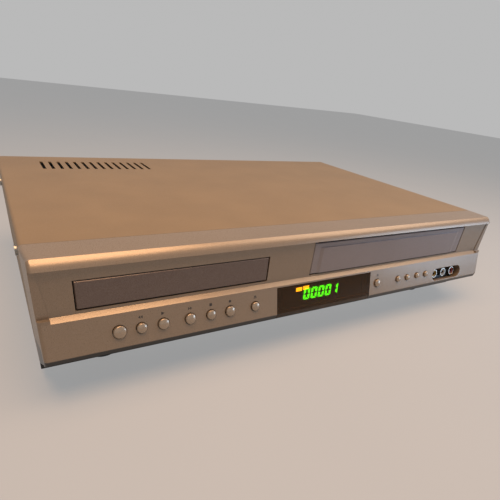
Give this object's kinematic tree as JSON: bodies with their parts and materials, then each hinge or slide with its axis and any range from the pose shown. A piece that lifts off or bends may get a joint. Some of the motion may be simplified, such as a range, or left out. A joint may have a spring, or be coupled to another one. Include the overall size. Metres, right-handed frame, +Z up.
{
  "type": "dvd vcr combo player",
  "caption": "Set-top player with a disc tray, a video cassette door, a sloped control panel with round buttons, a smoked display window and a recess of front sockets.",
  "frame": {"origin": "middle of the cabinet's footprint, on the surface that the feet stand on", "axes": "+X to the right seen from the front, +Y to the back, +Z up"},
  "size_m": [0.4382, 0.3, 0.094],
  "materials": {
    "bezel_silver": "satin silver paint on moulded plastic",
    "door_silver": "satin silver paint on moulded plastic",
    "button_silver": "bright silver plastic",
    "cover_paint": "fine textured silver paint",
    "zinc_steel": "zinc plated steel sheet",
    "screw_steel": "plated screw",
    "smoked_acrylic": "polished",
    "display_glass": "display tube",
    "board_green": "solder mask",
    "board_tan": "paper board",
    "black_plastic": "moulded",
    "nickel": "nickel plated",
    "gear_white": "natural acetal",
    "belt_rubber": "matte",
    "tray_grey": "fine grain",
    "frame_black": "moulded",
    "motor_can": "plated can",
    "pickup_metal": "die cast",
    "drum_metal": "polished",
    "roller_rubber": "matte",
    "foot_plastic": "matte"
  },
  "bodies": {
    "cabinet": {"front_bezel": "bezel_silver", "top_cover": "cover_paint", "base_pan": "zinc_steel", "feet": "foot_plastic", "rear_panel": "zinc_steel", "rear_jack_block": "black_plastic", "rear_jack_shells": "nickel", "mains_inlet": "black_plastic", "cover_screws": "screw_steel", "display_window": "smoked_acrylic", "front_board": "board_tan", "display_module": "display_glass", "front_jack_block": "black_plastic", "front_jack_shells": "nickel", "main_board": "board_green", "power_board": "board_tan", "loader_frame": "frame_black", "loading_motor": "motor_can", "loading_belt": "belt_rubber", "clamp_bridge": "zinc_steel", "carriage_brackets": "zinc_steel", "deck_plate": "zinc_steel", "lower_drum": "drum_metal", "capstan_motor": "motor_can", "erase_head": "pickup_metal", "control_head": "pickup_metal"},
    "tray": {"disc_tray": "tray_grey", "tray_front": "door_silver"},
    "drive_wheel": {"drive_wheel": "gear_white"},
    "motor_pulley": {"motor_pulley": "gear_white"},
    "clamp_puck": {"clamp_puck": "gear_white"},
    "traverse": {"traverse_plate": "zinc_steel", "pickup_rails": "drum_metal", "spindle_motor": "motor_can"},
    "turntable": {"turntable": "black_plastic"},
    "optical_pickup": {"optical_pickup": "pickup_metal"},
    "cassette_door": {"cassette_door": "door_silver"},
    "carriage_slider": {"carriage_slider": "zinc_steel"},
    "cassette_holder": {"cassette_holder": "zinc_steel"},
    "upper_drum": {"upper_drum": "drum_metal"},
    "capstan": {"capstan": "drum_metal"},
    "pinch_arm": {"pinch_arm": "zinc_steel"},
    "pinch_roller": {"pinch_roller": "roller_rubber"},
    "supply_reel": {"supply_reel": "black_plastic"},
    "takeup_reel": {"takeup_reel": "black_plastic"},
    "left_guide": {"left_guide": "black_plastic"},
    "right_guide": {"right_guide": "black_plastic"},
    "power_button": {"power_button": "button_silver"},
    "rewind_button": {"rewind_button": "button_silver"},
    "play_button": {"play_button": "button_silver"},
    "fast_forward_button": {"fast_forward_button": "button_silver"},
    "stop_button": {"stop_button": "button_silver"},
    "record_button": {"record_button": "button_silver"},
    "open_close_button": {"open_close_button": "button_silver"},
    "eject_button": {"eject_button": "button_silver"},
    "small_button_1": {"small_button_1": "button_silver"},
    "small_button_2": {"small_button_2": "button_silver"},
    "small_button_3": {"small_button_3": "button_silver"},
    "small_button_4": {"small_button_4": "button_silver"}
  },
  "joints": [
    {"name": "tray_slide", "type": "slide", "parent": "cabinet", "child": "tray", "axis": [0, -1, 0], "range_m": [0, 0.14137]},
    {"name": "drive_wheel_turn", "type": "hinge", "parent": "cabinet", "child": "drive_wheel", "pos_m": [-0.17815, -0.105, 0.06], "axis": [0, 0, 1], "range_deg": [0, 900.5]},
    {"name": "motor_pulley_turn", "type": "hinge", "parent": "cabinet", "child": "motor_pulley", "pos_m": [-0.13215, -0.103, 0.055], "axis": [0, 0, 1], "range_deg": [0, 3664.8]},
    {"name": "traverse_tilt", "type": "hinge", "parent": "cabinet", "child": "traverse", "pos_m": [-0.12725, 0.032, 0.05725], "axis": [1, 0, 0], "range_deg": [0, 6.5]},
    {"name": "turntable_spin", "type": "hinge", "parent": "traverse", "child": "turntable", "pos_m": [-0.12725, -0.066, 0.06], "axis": [0, 0, 1], "continuous": true},
    {"name": "clamp_puck_spin", "type": "hinge", "parent": "cabinet", "child": "clamp_puck", "pos_m": [-0.12725, -0.066, 0.08], "axis": [0, 0, 1], "continuous": true},
    {"name": "pickup_slide", "type": "slide", "parent": "traverse", "child": "optical_pickup", "axis": [0, 1, 0], "range_m": [0, 0.034]},
    {"name": "cassette_door_hinge", "type": "hinge", "parent": "cabinet", "child": "cassette_door", "pos_m": [0.0784, -0.1387, 0.0874], "axis": [-1, 0, 0], "range_deg": [-88, 0], "stiffness_Nm_per_rad": 0.01, "springref_deg": 11.46},
    {"name": "carriage_slide", "type": "slide", "parent": "cabinet", "child": "carriage_slider", "axis": [0, 1, 0], "range_m": [0, 0.06]},
    {"name": "holder_drop", "type": "slide", "parent": "carriage_slider", "child": "cassette_holder", "axis": [0, 0, -1], "range_m": [0, 0.0205]},
    {"name": "drum_spin", "type": "hinge", "parent": "cabinet", "child": "upper_drum", "pos_m": [0.0784, 0.058, 0.034], "axis": [0, -0.0872, 0.9962], "continuous": true},
    {"name": "capstan_spin", "type": "hinge", "parent": "cabinet", "child": "capstan", "pos_m": [0.1444, 0.018, 0.04], "axis": [0, 0, 1], "continuous": true},
    {"name": "pinch_arm_swing", "type": "hinge", "parent": "cabinet", "child": "pinch_arm", "pos_m": [0.168, 0.03, 0.04], "axis": [0, 0, 1], "range_deg": [-25, 0]},
    {"name": "pinch_roller_spin", "type": "hinge", "parent": "pinch_arm", "child": "pinch_roller", "pos_m": [0.15739, 0.00162, 0.048], "axis": [0, 0, 1], "continuous": true},
    {"name": "supply_reel_spin", "type": "hinge", "parent": "cabinet", "child": "supply_reel", "pos_m": [0.03165, -0.0495, 0.04], "axis": [0, 0, 1], "continuous": true},
    {"name": "takeup_reel_spin", "type": "hinge", "parent": "cabinet", "child": "takeup_reel", "pos_m": [0.12515, -0.0495, 0.04], "axis": [0, 0, 1], "continuous": true},
    {"name": "left_guide_slide", "type": "slide", "parent": "cabinet", "child": "left_guide", "axis": [-0.2169, 0.9762, 0], "range_m": [0, 0.055]},
    {"name": "right_guide_slide", "type": "slide", "parent": "cabinet", "child": "right_guide", "axis": [0.2169, 0.9762, 0], "range_m": [0, 0.055]},
    {"name": "power_button_press", "type": "slide", "parent": "cabinet", "child": "power_button", "axis": [0, 0.9702, -0.2421], "range_m": [0, 0.0008], "stiffness_N_per_m": 500, "springref_m": -0.001},
    {"name": "rewind_button_press", "type": "slide", "parent": "cabinet", "child": "rewind_button", "axis": [0, 0.9702, -0.2421], "range_m": [0, 0.0008], "stiffness_N_per_m": 500, "springref_m": -0.001},
    {"name": "play_button_press", "type": "slide", "parent": "cabinet", "child": "play_button", "axis": [0, 0.9702, -0.2421], "range_m": [0, 0.0008], "stiffness_N_per_m": 500, "springref_m": -0.001},
    {"name": "fast_forward_button_press", "type": "slide", "parent": "cabinet", "child": "fast_forward_button", "axis": [0, 0.9702, -0.2421], "range_m": [0, 0.0008], "stiffness_N_per_m": 500, "springref_m": -0.001},
    {"name": "stop_button_press", "type": "slide", "parent": "cabinet", "child": "stop_button", "axis": [0, 0.9702, -0.2421], "range_m": [0, 0.0008], "stiffness_N_per_m": 500, "springref_m": -0.001},
    {"name": "record_button_press", "type": "slide", "parent": "cabinet", "child": "record_button", "axis": [0, 0.9702, -0.2421], "range_m": [0, 0.0008], "stiffness_N_per_m": 500, "springref_m": -0.001},
    {"name": "open_close_button_press", "type": "slide", "parent": "cabinet", "child": "open_close_button", "axis": [0, 0.9702, -0.2421], "range_m": [0, 0.0008], "stiffness_N_per_m": 500, "springref_m": -0.001},
    {"name": "eject_button_press", "type": "slide", "parent": "cabinet", "child": "eject_button", "axis": [0, 0.9702, -0.2421], "range_m": [0, 0.0008], "stiffness_N_per_m": 500, "springref_m": -0.001},
    {"name": "small_button_1_press", "type": "slide", "parent": "cabinet", "child": "small_button_1", "axis": [0, 0.9702, -0.2421], "range_m": [0, 0.0008], "stiffness_N_per_m": 500, "springref_m": -0.001},
    {"name": "small_button_2_press", "type": "slide", "parent": "cabinet", "child": "small_button_2", "axis": [0, 0.9702, -0.2421], "range_m": [0, 0.0008], "stiffness_N_per_m": 500, "springref_m": -0.001},
    {"name": "small_button_3_press", "type": "slide", "parent": "cabinet", "child": "small_button_3", "axis": [0, 0.9702, -0.2421], "range_m": [0, 0.0008], "stiffness_N_per_m": 500, "springref_m": -0.001},
    {"name": "small_button_4_press", "type": "slide", "parent": "cabinet", "child": "small_button_4", "axis": [0, 0.9702, -0.2421], "range_m": [0, 0.0008], "stiffness_N_per_m": 500, "springref_m": -0.001}
  ],
  "couplings": [
    {"joint": "drive_wheel_turn", "follows": "tray_slide", "rad_per_m": 111.11},
    {"joint": "motor_pulley_turn", "follows": "tray_slide", "rad_per_m": 452.38},
    {"joint": "clamp_puck_spin", "follows": "turntable_spin", "ratio": 1},
    {"joint": "right_guide_slide", "follows": "left_guide_slide", "ratio": 1}
  ]
}
